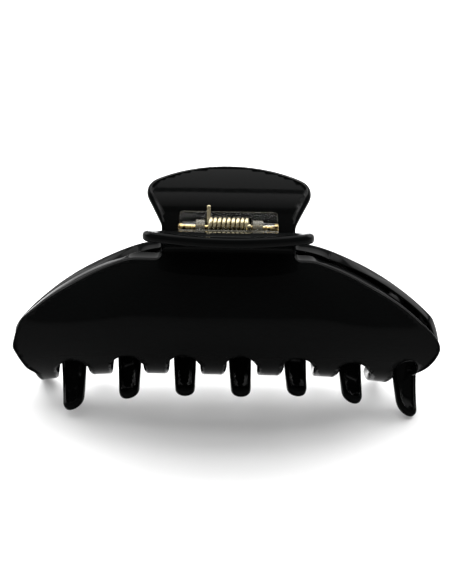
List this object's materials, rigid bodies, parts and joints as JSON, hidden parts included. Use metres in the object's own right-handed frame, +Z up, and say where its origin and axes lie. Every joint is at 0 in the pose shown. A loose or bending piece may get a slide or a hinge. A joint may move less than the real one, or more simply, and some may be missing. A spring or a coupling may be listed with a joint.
{
  "type": "claw hair clip",
  "caption": "Large glossy claw hair clip with two curved toothed jaws, flared finger tabs, a clear pinned hinge and a coiled torsion spring.",
  "frame": {"origin": "bottom centre of the closed clip, on the surface that its end teeth stand on", "axes": "+X along the clip and its hinge pin, the front jaw on the -Y side, +Z up from the teeth to the finger tabs"},
  "size_m": [0.1148, 0.0414, 0.0622],
  "materials": {
    "jaw_sheet": "polished black sheet",
    "clear_plastic": "clear moulded",
    "pin_metal": "satin",
    "spring_wire": "pale gold plated wire"
  },
  "bodies": {
    "rear_half": {"rear_jaw": "jaw_sheet", "rear_hinge_leaf": "clear_plastic", "hinge_pin": "pin_metal", "torsion_spring": "spring_wire"},
    "front_half": {"front_jaw": "jaw_sheet", "front_hinge_leaf": "clear_plastic"}
  },
  "joints": [
    {"name": "jaw_hinge", "type": "hinge", "parent": "rear_half", "child": "front_half", "pos_m": [0, 0, 0.05425], "axis": [-1, 0, 0], "range_deg": [0, 65], "stiffness_Nm_per_rad": 0.12, "springref_deg": -68.75, "deforming": ["torsion_spring"]}
  ]
}
